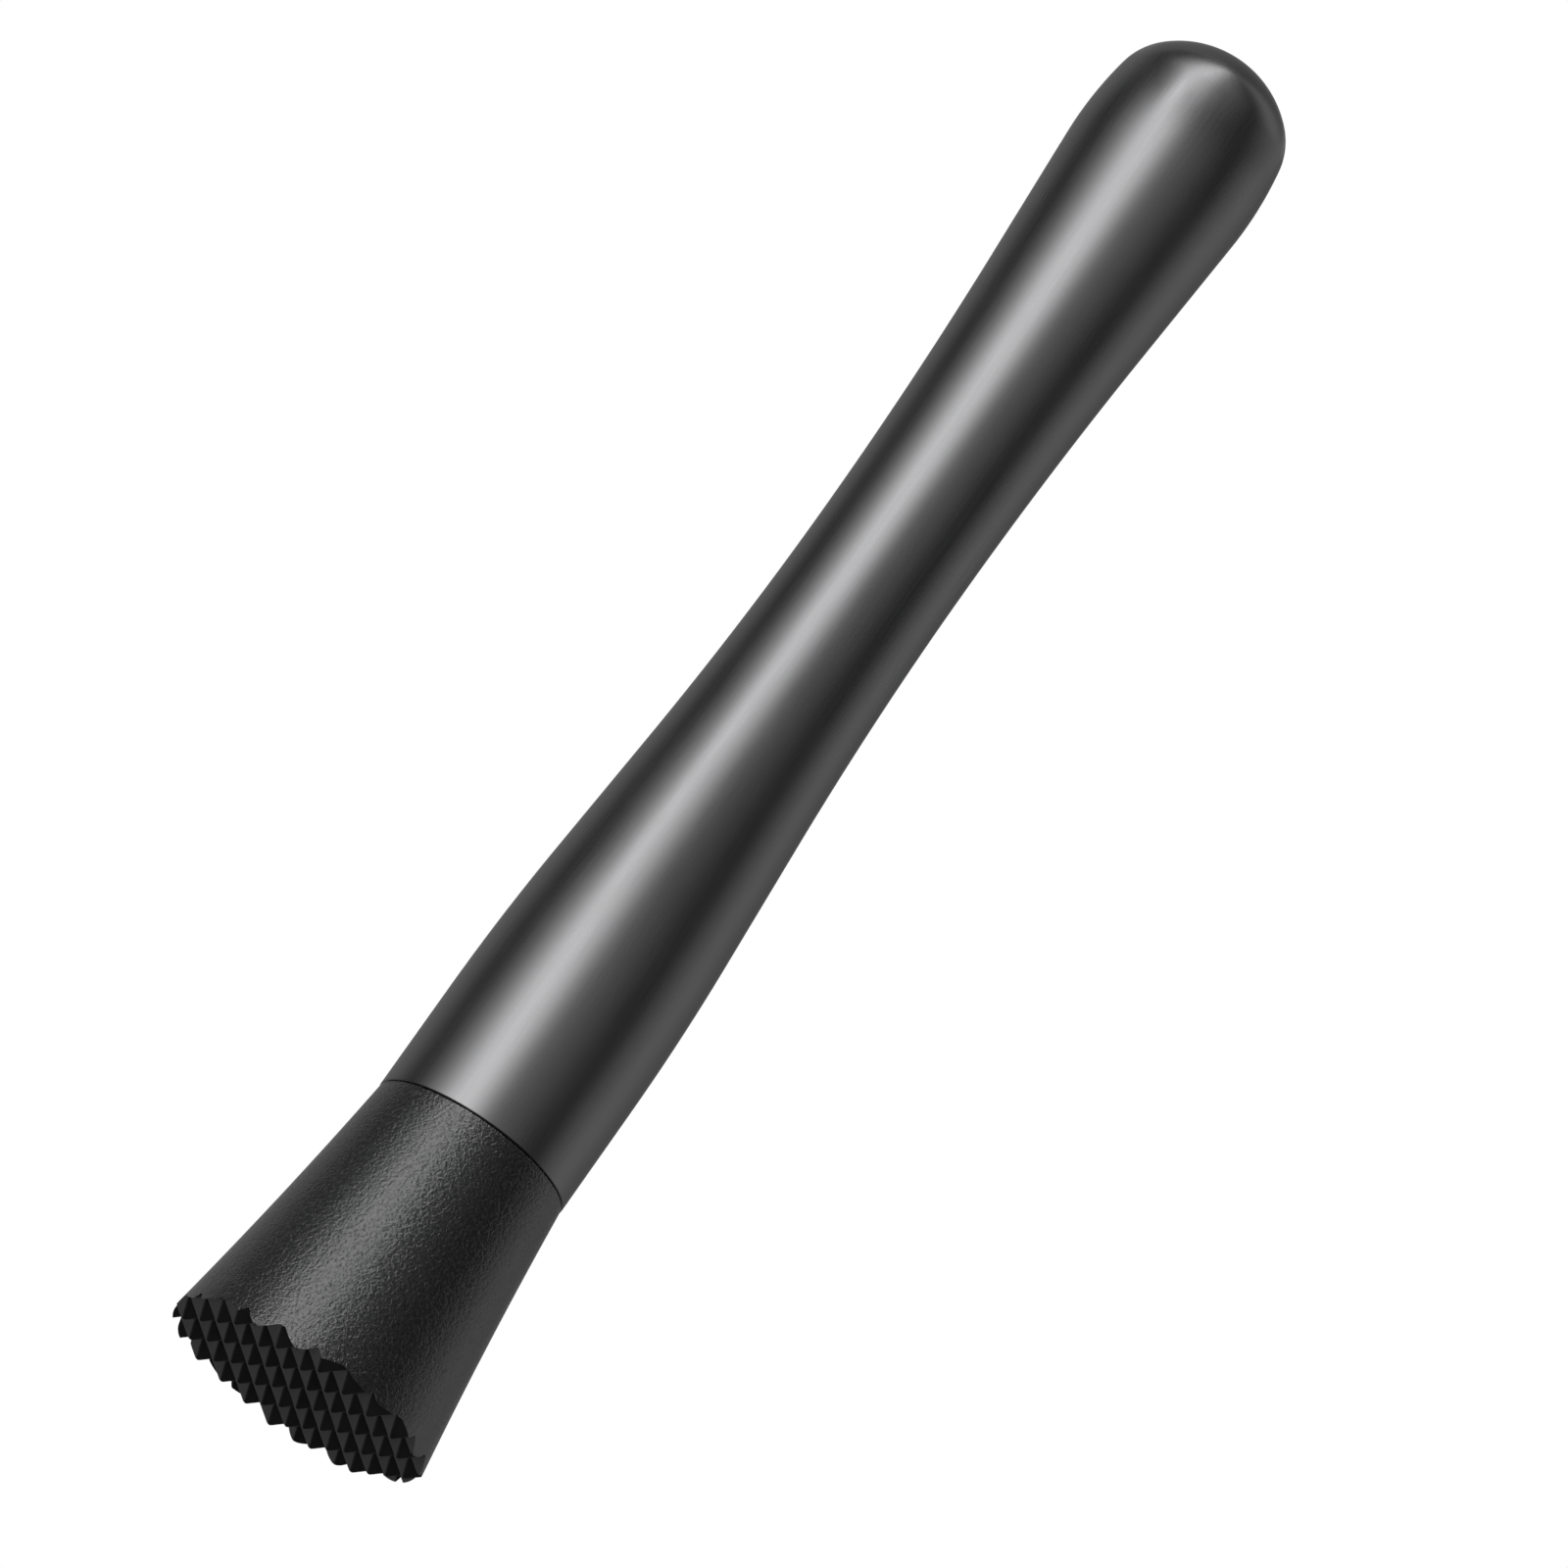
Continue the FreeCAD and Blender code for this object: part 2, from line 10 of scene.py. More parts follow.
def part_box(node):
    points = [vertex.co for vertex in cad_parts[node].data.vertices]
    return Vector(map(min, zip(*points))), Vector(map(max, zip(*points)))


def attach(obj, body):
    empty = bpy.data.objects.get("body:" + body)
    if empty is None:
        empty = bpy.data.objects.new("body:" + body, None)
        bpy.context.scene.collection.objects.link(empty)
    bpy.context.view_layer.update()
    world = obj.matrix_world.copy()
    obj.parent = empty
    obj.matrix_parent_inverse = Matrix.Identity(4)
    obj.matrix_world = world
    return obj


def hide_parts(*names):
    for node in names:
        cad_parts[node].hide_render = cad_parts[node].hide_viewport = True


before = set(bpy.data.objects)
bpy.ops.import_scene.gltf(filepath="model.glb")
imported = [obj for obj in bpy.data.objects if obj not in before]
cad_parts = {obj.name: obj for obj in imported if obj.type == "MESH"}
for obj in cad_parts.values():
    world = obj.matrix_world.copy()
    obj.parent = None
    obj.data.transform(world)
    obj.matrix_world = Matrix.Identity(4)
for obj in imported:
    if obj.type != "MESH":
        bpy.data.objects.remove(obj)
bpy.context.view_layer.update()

# Cocktail muddler standing on its teeth. The black-coated steel handle is a tube and an end cap, turned
# from tangent arcs. The nylon head is one closed mesh: the toothed face, the flared side, the shoulder
# and the cored plug. Lengths are in millimetres until a mesh is made.

MM = 0.001


# --- sizes ----------------------------------------------------------------------------------------

tube_low, tube_high = (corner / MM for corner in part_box("handle_tube"))
cap_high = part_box("end_cap")[1] / MM
head_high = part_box("muddling_head")[1] / MM

SEAM, KNOB, TOP, PLUG_TOP = tube_low.z, tube_high.z, cap_high.z, head_high.z
COLLAR_RADIUS, KNOB_RADIUS = tube_high.x, cap_high.x

WALL = 0.7
MOUTH_EDGE = 0.25
COLLAR_TOP, COLLAR_CURVE = 51.6, 305.5
WAIST, WAIST_RADIUS = 126.2, 9.7
LOWER_CURVE, UPPER_CURVE = 516.5, 633.0
KNOB_CURVE, KNUCKLE_RADIUS, CROWN_RADIUS = 49.3, 7.87, 12.96

RIM_RADIUS, RIM_EDGE = 17.52, 1.1
SHOULDER_RADIUS, SHOULDER_EDGE = 12.82, 0.35
FLARE_CURVE = 640.0
PITCH, TOOTH_DEPTH, TIP_FLAT = 4.12, 2.05, 0.35

PLUG_CLEARANCE, PLUG_CHAMFER = 0.05, 1.0
PLUG_RADIUS = COLLAR_RADIUS - WALL - PLUG_CLEARANCE
CORE_RADIUS, CORE_FLOOR, HALF_WEB, POCKETS = 9.4, 8.0, 0.9, 4
BAND_START, BAND_SPACING, BAND_WIDTH, BAND_DEPTH, BANDS = 4.0, 5.4, 2.6, 0.6, 3
BAND_FLOOR = COLLAR_RADIUS - WALL - BAND_DEPTH

# A moulded tooth is slightly rounded along its groove bottoms, its hips and its tip.
ROOT_ROUNDING, HIP_ROUNDING, TIP_ROUNDING = 0.22, 0.12, 0.14

# How finely the meshes are divided: round the handle and the head, along an outline, and on the face.
SEGMENTS, COLUMNS = 256, 720
RING_STEP, FINE_STEP, BOW_STEP = 2.5, 0.4, 0.5
EDGE_STEPS, ARC_STEPS = 4, 4
FLANKS_EACH_WAY, LINES_PER_FLANK = 10, 14
RIM_ROWS, SIDE_ROWS, SIDE_ROW_GROWTH, SIDE_SAMPLES = 3, 30, 1.16, 240
TURNED_SHARP, HEAD_SHARP = 50, 72
# Points closer than these are one point: between two patches, in metres, and in a triangulation, in
# millimetres.
MERGE = 2e-6
SAME_POINT = 1e-5


# --- outlines -------------------------------------------------------------------------------------

def arc(centre, radius, start, stop, step, side=1):
    """Points along an arc of an outline and the outward normals there; side is -1 on a hollow curve."""
    count = max(ARC_STEPS, math.ceil(abs(stop - start) * radius / step)) + 1
    angle = np.linspace(start, stop, count)
    ray = np.stack((np.cos(angle), np.sin(angle)), axis=1)
    return np.array(centre) + radius * ray, side * ray


def joined(arcs, step):
    """Tangent arcs as one run of points and normals, with extra points along the straight stretches."""
    points, normals = [], []
    for arc_points, arc_normals in arcs:
        if points:
            start, gap = points[-1], math.dist(points[-1], arc_points[0])
            for share in np.arange(1, math.ceil(gap / step)) / math.ceil(gap / step):
                points.append(start + share * (arc_points[0] - start))
                normals.append(arc_normals[0])
        points.extend(arc_points)
        normals.extend(arc_normals)
    return np.array(points), np.array(normals)


def taper_angle(rise, step, curves):
    """Lean from the axis of the straight side that joins a hollow curve to an outward one."""
    reach = math.hypot(rise, curves - step)
    return math.atan2(rise, curves - step) - math.acos(curves / reach)


def tube_section():
    """Closed section of the handle tube, from the mouth up the outside and down the inside."""
    lower = taper_angle(WAIST - COLLAR_TOP, COLLAR_RADIUS - WAIST_RADIUS, COLLAR_CURVE + LOWER_CURVE)
    upper = taper_angle(KNOB - WAIST, KNOB_RADIUS - WAIST_RADIUS, KNOB_CURVE + UPPER_CURVE)
    mouth_centre = (COLLAR_RADIUS - MOUTH_EDGE, SEAM + MOUTH_EDGE)
    mouth = arc(mouth_centre, MOUTH_EDGE, -math.pi / 2, 0, MOUTH_EDGE / EDGE_STEPS)
    wall, normals = joined([
        mouth,
        arc((COLLAR_RADIUS - COLLAR_CURVE, COLLAR_TOP), COLLAR_CURVE, 0, lower, RING_STEP),
        arc((WAIST_RADIUS + LOWER_CURVE, WAIST), LOWER_CURVE, math.pi + lower, math.pi, RING_STEP, -1),
        arc((WAIST_RADIUS + UPPER_CURVE, WAIST), UPPER_CURVE, math.pi, math.pi - upper, RING_STEP, -1),
        arc((KNOB_RADIUS - KNOB_CURVE, KNOB), KNOB_CURVE, -upper, 0, FINE_STEP),
    ], RING_STEP)
    inside = (wall - WALL * normals)[len(mouth[0]):]
    foot = np.array([[COLLAR_RADIUS - WALL, SEAM]])
    return np.concatenate((wall, inside[::-1], foot))


def cap_section():
    """Closed section of the end cap: side of the knob, rounded shoulder and shallower crown."""
    side_centre = Vector((KNOB_RADIUS - KNOB_CURVE, KNOB))
    crown_centre = Vector((0, TOP - CROWN_RADIUS))
    between = crown_centre - side_centre
    to_side, to_crown = KNOB_CURVE - KNUCKLE_RADIUS, CROWN_RADIUS - KNUCKLE_RADIUS
    along = (between.length_squared + to_side ** 2 - to_crown ** 2) / (2 * between.length)
    off = math.sqrt(to_side ** 2 - along ** 2)
    unit = between.normalized()
    knuckle_centre = side_centre + along * unit + off * unit.orthogonal()
    lean = math.atan2(*reversed(knuckle_centre - side_centre))
    crown_edge = math.atan2(*reversed(knuckle_centre - crown_centre))
    skin, normals = joined([
        arc(side_centre, KNOB_CURVE, 0, lean, FINE_STEP),
        arc(knuckle_centre, KNUCKLE_RADIUS, lean, crown_edge, FINE_STEP),
        arc(crown_centre, CROWN_RADIUS, crown_edge, math.pi / 2, FINE_STEP),
    ], FINE_STEP)
    return np.concatenate((skin, (skin - WALL * normals)[::-1]))


# --- meshes ---------------------------------------------------------------------------------------

def ring_points(radii, heights, angles):
    """Points at matching radii and heights, for each angle: rows of rings."""
    radii, heights, angles = np.broadcast_arrays(radii, heights, angles)
    return np.stack((radii * np.cos(angles), radii * np.sin(angles), heights), axis=-1)


def ring_faces(rows, columns, closed):
    """Quads between neighbouring rings, and between the last and the first if closed."""
    row, column = np.mgrid[0:rows if closed else rows - 1, 0:columns]
    after, beside = (row + 1) % rows, (column + 1) % columns
    quads = (row * columns + column, row * columns + beside,
             after * columns + beside, after * columns + column)
    return np.stack(quads, axis=-1).reshape(-1, 4)


def triangulated(points, edges):
    """Triangles between flat points that keep the given edges, with the points in their new order."""
    found = delaunay_2d_cdt([Vector(point) for point in points.tolist()], edges, [], 0, SAME_POINT)
    return np.array([tuple(point) for point in found[0]]), np.array(found[2])


def make_piece(name, patches, materials, sharp_angle):
    """One object from patches of (points, faces, material index), joined where their points meet."""
    bm = bmesh.new()
    for points, faces, index in patches:
        corners = [bm.verts.new(point) for point in (np.reshape(points, (-1, 3)) * MM).tolist()]
        for face in faces.tolist():
            bm.faces.new([corners[corner] for corner in face]).material_index = index
    bmesh.ops.remove_doubles(bm, verts=bm.verts, dist=MERGE)
    bmesh.ops.recalc_face_normals(bm, faces=bm.faces)
    mesh = bpy.data.meshes.new(name)
    bm.to_mesh(mesh)
    bm.free()
    for material in materials:
        mesh.materials.append(material)
    mesh.shade_smooth()
    mesh.set_sharp_from_angle(angle=math.radians(sharp_angle))
    piece = bpy.data.objects.new(name, mesh)
    bpy.context.scene.collection.objects.link(piece)
    return piece


def turned(name, section, material):
    """A closed section turned round the axis."""
    angles = np.arange(SEGMENTS) * 2 * np.pi / SEGMENTS
    points = ring_points(section[:, :1], section[:, 1:], angles)
    faces = ring_faces(len(section), SEGMENTS, closed=True)
    return make_piece(name, [(points, faces, 0)], [material], TURNED_SHARP)


# --- toothed face ---------------------------------------------------------------------------------

def blend_max(first, second, rounding):
    """The greater of two heights, rounded where they cross."""
    overlap = np.maximum(rounding - np.abs(first - second), 0)
    return np.maximum(first, second) + overlap ** 2 / (4 * rounding)


def flank(across):
    """Height of one family of V grooves above the tips, by the distance across the family."""
    away = np.abs((across + PITCH / 2) % PITCH - PITCH / 2)
    away = blend_max(away, -away, ROOT_ROUNDING)
    return TOOTH_DEPTH * (1 - away / ((PITCH - TIP_FLAT) / 2))


def tooth_height(x, y):
    """Height of the toothed face: two crossed families of grooves leave pyramids with small flats."""
    return blend_max(blend_max(flank(x), flank(y), HIP_ROUNDING), 0, TIP_ROUNDING)


class Side:
    """Outline of the head from the face's edge, round the rim and up the hollow flare."""
    chord = Vector((SHOULDER_RADIUS - RIM_RADIUS, SEAM))
    outward = Vector((chord.y, -chord.x)).normalized()
    depth = math.sqrt(FLARE_CURVE ** 2 - (chord.length / 2) ** 2)
    centre = Vector((RIM_RADIUS, 0)) + chord / 2 + outward * depth

    @staticmethod
    def corner(centre, height, edge):
        """Centre of an edge rounding that touches the flare, and the flare's normal there."""
        across = centre.x - math.sqrt((FLARE_CURVE + edge) ** 2 - (height - centre.y) ** 2)
        return Vector((across, height)), math.atan2(centre.y - height, centre.x - across)

    rim_centre, rim_angle = corner(centre, RIM_EDGE, RIM_EDGE)
    shoulder_centre, shoulder_angle = corner(centre, SEAM - SHOULDER_EDGE, SHOULDER_EDGE)
    rounding = RIM_EDGE * (math.pi / 2 + rim_angle)
    length = rounding + FLARE_CURVE * (rim_angle - shoulder_angle)

    @staticmethod
    def at(run):
        """Radius and height after a run along the outline from the bottom of the rim's rounding."""
        turn = np.minimum(run, Side.rounding) / RIM_EDGE
        lean = Side.rim_angle - np.maximum(run - Side.rounding, 0) / FLARE_CURVE
        on_rim = run < Side.rounding
        radius = np.where(on_rim, Side.rim_centre.x + RIM_EDGE * np.sin(turn),
                          Side.centre.x - FLARE_CURVE * np.cos(lean))
        height = np.where(on_rim, RIM_EDGE * (1 - np.cos(turn)),
                          Side.centre.y - FLARE_CURVE * np.sin(lean))
        return radius, height


# The flat grid of the face ends on this circle, inside the rim's widest ring and every groove's mouth.
FACE_RADIUS = 17.14
FACE_RUN = RIM_EDGE * math.asin((FACE_RADIUS - Side.rim_centre.x) / RIM_EDGE)


def rim_height(radius):
    """Height of the rim's rounding above the tips."""
    beyond = np.clip(radius - Side.rim_centre.x, 0, RIM_EDGE)
    return RIM_EDGE - np.sqrt(RIM_EDGE ** 2 - beyond ** 2)


def face_height(x, y):
    return np.maximum(tooth_height(x, y), rim_height(np.hypot(x, y)))


def face_grid():
    """Grid lines across the face, closer together at tips and groove bottoms, and each line's flank."""
    share = np.arange(LINES_PER_FLANK) / LINES_PER_FLANK
    eased = (share + (1 - np.cos(np.pi * share)) / 2) / 2
    flanks = np.arange(-FLANKS_EACH_WAY, FLANKS_EACH_WAY)
    lines = (flanks[:, None] + eased) * PITCH / 2
    step_from_groove = np.where(flanks[:, None] % 2 == 0, np.arange(LINES_PER_FLANK),
                                LINES_PER_FLANK - 1 - np.arange(LINES_PER_FLANK))
    return lines.ravel(), step_from_groove.ravel(), np.repeat(flanks % 2, LINES_PER_FLANK)


def face_patch(angles):
    """Triangles of the toothed face inside its circle, with edges along every hip of a tooth."""
    lines, step, parity = face_grid()
    x, y = np.meshgrid(lines, lines, indexing="ij")
    inside = np.hypot(x, y) < FACE_RADIUS - PITCH / 2 / LINES_PER_FLANK / 2
    number = np.full(inside.shape, -1)
    number[inside] = np.arange(inside.sum()) + len(angles)
    circle = FACE_RADIUS * np.stack((np.cos(angles), np.sin(angles)), axis=1)
    flat = np.concatenate((circle, np.stack((x[inside], y[inside]), axis=1)))

    first, second = np.nonzero(step[:-1, None] == step[None, :-1])
    same = parity[first] == parity[second]
    start = number[first + ~same, second]
    end = number[first + same, second + 1]
    hips = np.stack((start, end), axis=1)[(start >= 0) & (end >= 0)]
    rim = np.stack((np.arange(len(angles)), np.roll(np.arange(len(angles)), -1)), axis=1)
    flat, faces = triangulated(flat, np.concatenate((rim, hips)).tolist())
    return np.column_stack((flat, face_height(flat[:, 0], flat[:, 1]))), faces


# --- muddling head --------------------------------------------------------------------------------

QUARTER_TURN = np.array(((0, 1), (-1, 0)))


def side_start(angles):
    """For each angle, the run along the outline at which the side leaves the toothed face."""
    runs = np.linspace(FACE_RUN, Side.rounding + TOOTH_DEPTH, SIDE_SAMPLES)
    radius, height = Side.at(runs)
    over = tooth_height(radius * np.cos(angles)[:, None], radius * np.sin(angles)[:, None]) - height
    cut = over > 0
    last = len(runs) - 1 - np.argmax(cut[:, ::-1], axis=1)
    last = np.minimum(last, len(runs) - 2)
    row = np.arange(len(angles))
    share = over[row, last] / (over[row, last] - over[row, last + 1])
    return np.where(cut.any(axis=1), runs[last] + share * (runs[last + 1] - runs[last]), FACE_RUN)


def plug_outline():
    """Shoulder, ring grooves and lead-in of the plug, from the top of the flare to the plug's end."""
    shoulder, _ = arc(Side.shoulder_centre, SHOULDER_EDGE, Side.shoulder_angle, math.pi / 2,
                      SHOULDER_EDGE / EDGE_STEPS)
    points = [*shoulder[1:], (PLUG_RADIUS, SEAM)]
    for band in range(BANDS):
        low = SEAM + BAND_START + BAND_SPACING * band
        high = low + BAND_WIDTH
        points += [(PLUG_RADIUS, low), (BAND_FLOOR, low), (BAND_FLOOR, high), (PLUG_RADIUS, high)]
    points += [(PLUG_RADIUS, PLUG_TOP - PLUG_CHAMFER), (PLUG_RADIUS - PLUG_CHAMFER, PLUG_TOP)]
    return np.array(points)


def wall_patch(angles):
    """Rings from the face's circle out to the side, up the flare and along the plug."""
    start = side_start(angles)
    edge_radius, _ = Side.at(start)
    share = np.arange(RIM_ROWS)[:, None] / RIM_ROWS
    radius = FACE_RADIUS + share * (edge_radius - FACE_RADIUS)
    height = face_height(radius * np.cos(angles), radius * np.sin(angles))
    face_rows = ring_points(radius, height, angles)

    growth = SIDE_ROW_GROWTH ** np.arange(SIDE_ROWS + 1) - 1
    runs = start + (growth / growth[-1])[:, None] * (Side.length - start)
    side_rows = ring_points(*Side.at(runs), angles)

    plug = plug_outline()
    plug_rows = ring_points(plug[:, :1], plug[:, 1:], angles)
    points = np.concatenate((face_rows, side_rows, plug_rows))
    faces = ring_faces(len(points), len(angles), closed=False)
    toothed = len(face_rows) * len(angles)
    return points, faces[:toothed], faces[toothed:]


def raised(flat, height):
    """Flat points lifted to a height."""
    return np.column_stack((flat, np.full(len(flat), height)))


def core_patches(angles):
    """End of the plug with its four quarter-round pockets, their walls and their floors."""
    reach = math.sqrt(CORE_RADIUS ** 2 - HALF_WEB ** 2)
    start = math.atan2(HALF_WEB, reach)
    bow, _ = arc((0, 0), CORE_RADIUS, start, math.pi / 2 - start, BOW_STEP)
    quarter = np.concatenate(([(HALF_WEB, HALF_WEB)], bow))
    loops = [(PLUG_RADIUS - PLUG_CHAMFER) * np.stack((np.cos(angles), np.sin(angles)), axis=1)]
    for _ in range(POCKETS):
        loops.append(quarter)
        quarter = quarter @ QUARTER_TURN

    flat, edges, walls = np.empty((0, 2)), [], []
    for loop in loops:
        index = len(flat) + np.arange(len(loop))
        edges += np.stack((index, np.roll(index, -1)), axis=1).tolist()
        flat = np.concatenate((flat, loop))
    flat, faces = triangulated(flat, edges)
    middle = flat[faces].mean(axis=1)
    pocket = (np.abs(middle) > HALF_WEB).all(axis=1) & (np.hypot(*middle.T) < CORE_RADIUS)

    for loop in loops[1:]:
        rings = np.stack((raised(loop, PLUG_TOP), raised(loop, CORE_FLOOR)))
        walls.append((rings, ring_faces(2, len(loop), closed=False), 0))
    end = raised(flat, PLUG_TOP)
    floor = raised(flat, CORE_FLOOR)
    return [(end, faces[~pocket], 0), (floor, faces[pocket], 0), *walls]


def make_head(side_material, face_material):
    angles = np.arange(COLUMNS) * 2 * np.pi / COLUMNS
    points, toothed, wall = wall_patch(angles)
    patches = [(*face_patch(angles), 1), (points, toothed, 1), (points, wall, 0), *core_patches(angles)]
    return make_piece("head_moulding", patches, [side_material, face_material], HEAD_SHARP)


# --- materials ------------------------------------------------------------------------------------

class Nodes:
    """Small helper that adds nodes to a material or world and links them."""

    def __init__(self, owner):
        owner.use_nodes = True
        self.tree = owner.node_tree

    def add(self, kind, settings=None, **inputs):
        """New node; inputs take a value or another node's output socket. Spaces in names become _,
        and i0, i1 and i2 are inputs by number."""
        node = self.tree.nodes.new(kind)
        for key, value in (settings or {}).items():
            setattr(node, key, value)
        for key, value in inputs.items():
            name = int(key[1:]) if key[1:].isdigit() else key.replace("_", " ")
            self.feed(node.inputs[name], value)
        return node

    def feed(self, socket, value):
        if isinstance(value, bpy.types.NodeSocket):
            self.tree.links.new(value, socket)
        else:
            socket.default_value = value

    def math(self, operation, first, second):
        return self.add("ShaderNodeMath", {"operation": operation}, i0=first, i1=second).outputs[0]

    def spread(self, value, low, high, to_low, to_high):
        """Map a range of values onto another one, smoothly and clamped."""
        node = self.add("ShaderNodeMapRange", {"interpolation_type": "SMOOTHSTEP"}, Value=value,
                        From_Min=low, From_Max=high, To_Min=to_low, To_Max=to_high)
        return node.outputs[0]

    def vary(self, noise, low, high):
        """Map the middle of a noise's range, which holds most of it, from low to high."""
        return self.spread(noise, 0.3, 0.7, low, high)

    def noise(self, where, size, detail=2.0, roughness=0.5, distortion=0.0):
        """Noise with features of the given size in metres."""
        node = self.add("ShaderNodeTexNoise", Vector=where, Scale=1 / size, Detail=detail,
                        Roughness=roughness, Distortion=distortion)
        return node.outputs["Fac"]

    def ramp(self, value, stops):
        """Grey levels at positions from 0 to 1, joined by smooth curves."""
        node = self.add("ShaderNodeValToRGB", i0=value)
        ramp = node.color_ramp
        ramp.interpolation = "CARDINAL"
        while len(ramp.elements) < len(stops):
            ramp.elements.new(1.0)
        for element, (position, level) in zip(ramp.elements, stops):
            element.position = position
            element.color = (level, level, level, 1)
        return node.outputs["Color"]


def new_material(name):
    material = bpy.data.materials.new(name)
    nodes = Nodes(material)
    shader = nodes.tree.nodes["Principled BSDF"]
    where = nodes.add("ShaderNodeTexCoord").outputs["Object"]
    return material, nodes, shader, where


def stretched(nodes, where, along_axis):
    """Coordinates whose patterns are stretched along the axis when along_axis is below 1."""
    return nodes.add("ShaderNodeMapping", Vector=where, Scale=(1, 1, along_axis)).outputs[0]


def tinted(nodes, factor, dark, light):
    """Colour between two tones."""
    mix = nodes.add("ShaderNodeMix", {"data_type": "RGBA"})
    nodes.feed(mix.inputs["Factor"], factor)
    nodes.feed(mix.inputs[6], (*dark, 1))
    nodes.feed(mix.inputs[7], (*light, 1))
    return mix.outputs[2]


def set_surface(nodes, shader, colour, roughness, relief, strength, depth):
    """Link the colour, the roughness and a relief of the given strength and depth to the shader."""
    nodes.feed(shader.inputs["Base Color"], colour)
    nodes.feed(shader.inputs["Roughness"], roughness)
    bump = nodes.add("ShaderNodeBump", Strength=strength, Distance=depth, Height=relief)
    nodes.feed(shader.inputs["Normal"], bump.outputs[0])


def coated_steel():
    """Polished stainless steel under a thin black coat: satin, with faint lengthwise polishing."""
    material, nodes, shader, where = new_material("coated_steel")
    polish = nodes.noise(stretched(nodes, where, 0.03), 0.0004, detail=3)
    cloud = nodes.noise(where, 0.014, detail=3)
    pores = nodes.noise(where, 0.00025, detail=1)
    shader.inputs["Metallic"].default_value = 1.0
    colour = tinted(nodes, cloud, (0.108, 0.108, 0.110), (0.124, 0.124, 0.126))
    gloss = nodes.math("ADD", nodes.vary(polish, 0.255, 0.285), nodes.vary(cloud, 0, 0.02))
    relief = nodes.math("ADD", nodes.math("MULTIPLY", polish, 0.5), pores)
    set_surface(nodes, shader, colour, gloss, relief, strength=0.12, depth=0.00001)
    return material


NYLON_IOR = 1.53


def moulded_nylon():
    """Black nylon with the fine leathery grain of a spark-eroded mould."""
    material, nodes, shader, where = new_material("moulded_nylon")
    worms = nodes.noise(where, 0.00045, detail=1.5, distortion=0.8)
    grit = nodes.noise(where, 0.0002, detail=1)
    cloud = nodes.noise(where, 0.009)
    shader.inputs["IOR"].default_value = NYLON_IOR
    shader.inputs["Sheen Weight"].default_value = 0.12
    shader.inputs["Sheen Roughness"].default_value = 0.14
    colour = tinted(nodes, worms, (0.002, 0.002, 0.0021), (0.004, 0.004, 0.0042))
    relief = nodes.math("ADD", worms, nodes.math("MULTIPLY", grit, 0.2))
    set_surface(nodes, shader, colour, nodes.vary(cloud, 0.18, 0.22), relief, strength=1.0, depth=0.00012)
    return material


def tooth_nylon():
    """The same nylon on the toothed face, where the mould is milled smooth."""
    material, nodes, shader, where = new_material("tooth_nylon")
    cloud = nodes.noise(where, 0.004, detail=3)
    grit = nodes.noise(where, 0.00016)
    shader.inputs["IOR"].default_value = NYLON_IOR
    colour = tinted(nodes, cloud, (0.003, 0.003, 0.0031), (0.005, 0.005, 0.0052))
    set_surface(nodes, shader, colour, nodes.vary(cloud, 0.34, 0.40), grit, strength=0.15, depth=0.00004)
    return material


def weld_steel():
    """Bare weld root inside the knob: rippled, straw to blue heat tint."""
    material, nodes, shader, where = new_material("weld_steel")
    heat = nodes.noise(where, 0.003, detail=3)
    ripple = nodes.noise(stretched(nodes, where, 0.4), 0.0006)
    shader.inputs["Metallic"].default_value = 1.0
    colour = tinted(nodes, heat, (0.30, 0.27, 0.30), (0.55, 0.47, 0.35))
    set_surface(nodes, shader, colour, nodes.vary(ripple, 0.3, 0.5), ripple, strength=0.6, depth=0.0001)
    return material


def cured_adhesive():
    """Clear amber epoxy with a few trapped bubbles."""
    material, nodes, shader, where = new_material("cured_adhesive")
    flow = nodes.noise(where, 0.002)
    bubbles = nodes.add("ShaderNodeTexVoronoi", Vector=where, Scale=1 / 0.0011).outputs["Distance"]
    shader.inputs["IOR"].default_value = 1.5
    colour = tinted(nodes, flow, (0.50, 0.38, 0.17), (0.70, 0.58, 0.34))
    relief = nodes.spread(bubbles, 0.1, 0.3, 0, 1)
    set_surface(nodes, shader, colour, nodes.vary(flow, 0.12, 0.22), relief, strength=0.3, depth=0.0001)
    return material


def repaint(node, material):
    """Give a CAD node that stays in view its finished material."""
    for material_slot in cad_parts[node].material_slots:
        material_slot.material = material


# --- studio ---------------------------------------------------------------------------------------

CAMERA_AZIMUTH, CAMERA_ELEVATION = -25.5, -18.65
CAMERA_ROLL = 35.24
CAMERA_DISTANCE = 1.5382
# Where the camera aims: metres to the picture's right and up from a point on the axis, and its height.
AIM = (0.00768, 0.00161, 0.08967)
LENS, SENSOR = 300.0, 36.0

# Brightness round the studio by degrees to the right of the camera's side: a tall soft key light on the
# left, a dark gap on each side of it and a broad dim wall on the right. Most of the angles are those that
# the handle mirrors at even steps across its width. Their levels were first worked out from how
# bright the photograph is there, and then changed after renders.
STUDIO = ((-180, 0.22), (-147, 0.33), (-123, 0.40), (-106, 0.16), (-92, 0.18), (-80, 0.53),
          (-68, 1.20), (-57, 2.35), (-47, 4.00), (-38, 4.90), (-28, 4.70), (-18, 3.30), (-9, 1.70),
          (0, 0.84), (9, 0.66), (18, 0.54), (28, 0.43), (38, 0.30), (47, 0.18), (57, 0.12), (66, 0.13),
          (74, 0.32), (80, 0.45), (92, 0.62), (106, 0.72), (123, 0.50), (147, 0.20), (180, 0.22))
